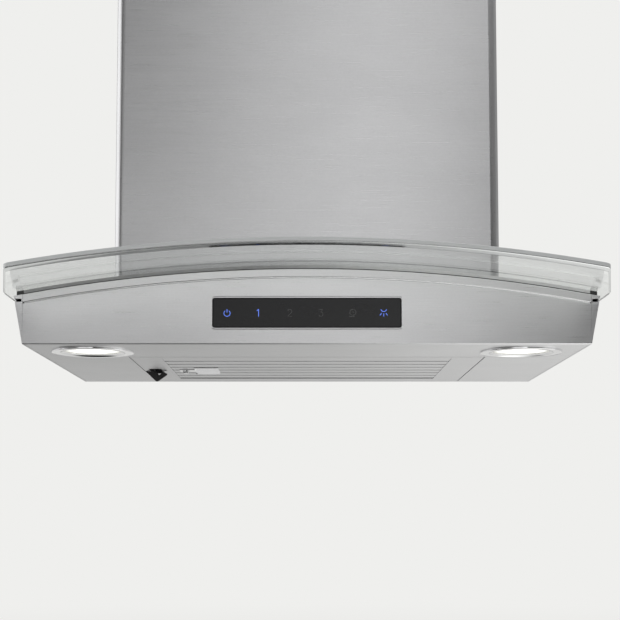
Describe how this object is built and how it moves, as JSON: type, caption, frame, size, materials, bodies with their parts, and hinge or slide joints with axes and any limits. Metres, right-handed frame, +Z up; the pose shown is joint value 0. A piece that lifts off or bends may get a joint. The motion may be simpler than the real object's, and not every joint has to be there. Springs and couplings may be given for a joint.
{
  "type": "chimney range hood",
  "caption": "Wall-hung chimney range hood: arched glass over a steel canopy with touch panel, round lamps and baffle filter, under a telescoping chimney with its blower.",
  "frame": {"origin": "on the wall plane, at the middle of the canopy's rear lower edge", "axes": "+Z up, +Y into the wall, -Y out into the room, +X to the viewer's right"},
  "size_m": [0.6, 0.48, 0.5535],
  "materials": {
    "brushed_stainless": "fine horizontal brushing",
    "filter_stainless": "satin",
    "galvanised_steel": "satin zinc",
    "chrome_plate": "polished",
    "clear_glass": "polished, tempered",
    "black_glass": "gloss, back-printed",
    "frosted_lens": "frosted",
    "black_rubber": "matt",
    "black_plastic": "fine grain",
    "grey_plastic": "fine grain",
    "cast_aluminium": "turned",
    "circuit_board": "solder mask"
  },
  "bodies": {
    "hood": {"canopy_shell": "brushed_stainless", "front_panel": "brushed_stainless", "trim_rail": "brushed_stainless", "bottom_panel": "brushed_stainless", "glass_canopy": "clear_glass", "glass_gasket": "black_rubber", "glass_bushes": "black_rubber", "glass_bolts": "galvanised_steel", "lower_chimney": "brushed_stainless", "chimney_clips": "galvanised_steel", "chimney_screws": "galvanised_steel", "touch_window": "black_glass", "touch_bezel": "chrome_plate", "touch_board": "circuit_board", "control_box": "grey_plastic", "lamp_driver": "grey_plastic", "lamp_ring_left": "chrome_plate", "lamp_ring_right": "chrome_plate", "lamp_lens_left": "frosted_lens", "lamp_lens_right": "frosted_lens", "lamp_can_left": "cast_aluminium", "lamp_can_right": "cast_aluminium", "lamp_clips_left": "galvanised_steel", "lamp_clips_right": "galvanised_steel", "blower_box": "galvanised_steel", "box_screws": "galvanised_steel", "scroll_housing": "galvanised_steel", "fan_motor": "cast_aluminium", "motor_bracket": "galvanised_steel", "motor_bushes": "black_rubber", "capacitor": "grey_plastic", "capacitor_strap": "galvanised_steel", "cable_gland": "black_plastic", "duct_collar": "galvanised_steel", "collar_screws": "galvanised_steel"},
    "upper_chimney": {"upper_chimney": "brushed_stainless", "top_bracket": "galvanised_steel"},
    "rotor": {"fan_wheel": "black_plastic", "motor_shaft": "galvanised_steel"},
    "damper_front": {"damper_front": "cast_aluminium"},
    "damper_rear": {"damper_rear": "cast_aluminium"},
    "filter": {"filter_frame": "filter_stainless", "lower_baffles": "filter_stainless", "upper_baffles": "filter_stainless", "filter_grip": "chrome_plate", "latch_cup": "black_plastic"},
    "latch": {"filter_latch": "black_plastic"}
  },
  "joints": [
    {"name": "upper_chimney_slide", "type": "slide", "parent": "hood", "child": "upper_chimney", "axis": [0, 0, 1], "range_m": [0, 0.308]},
    {"name": "fan_spin", "type": "hinge", "parent": "hood", "child": "rotor", "pos_m": [0, -0.1129, 0.1987], "axis": [1, 0, 0], "continuous": true},
    {"name": "damper_front_hinge", "type": "hinge", "parent": "hood", "child": "damper_front", "pos_m": [0, -0.15832, 0.3439], "axis": [-1, 0, 0], "range_deg": [0, 80]},
    {"name": "damper_rear_hinge", "type": "hinge", "parent": "hood", "child": "damper_rear", "pos_m": [0, -0.15132, 0.3439], "axis": [1, 0, 0], "range_deg": [0, 80]},
    {"name": "filter_hinge", "type": "hinge", "parent": "hood", "child": "filter", "pos_m": [0.1865, -0.137, 0.0025], "axis": [0, -1, 0], "range_deg": [0, 75]},
    {"name": "latch_slide", "type": "slide", "parent": "filter", "child": "latch", "axis": [1, 0, 0], "range_m": [0, 0.006], "stiffness_N_per_m": 250}
  ]
}
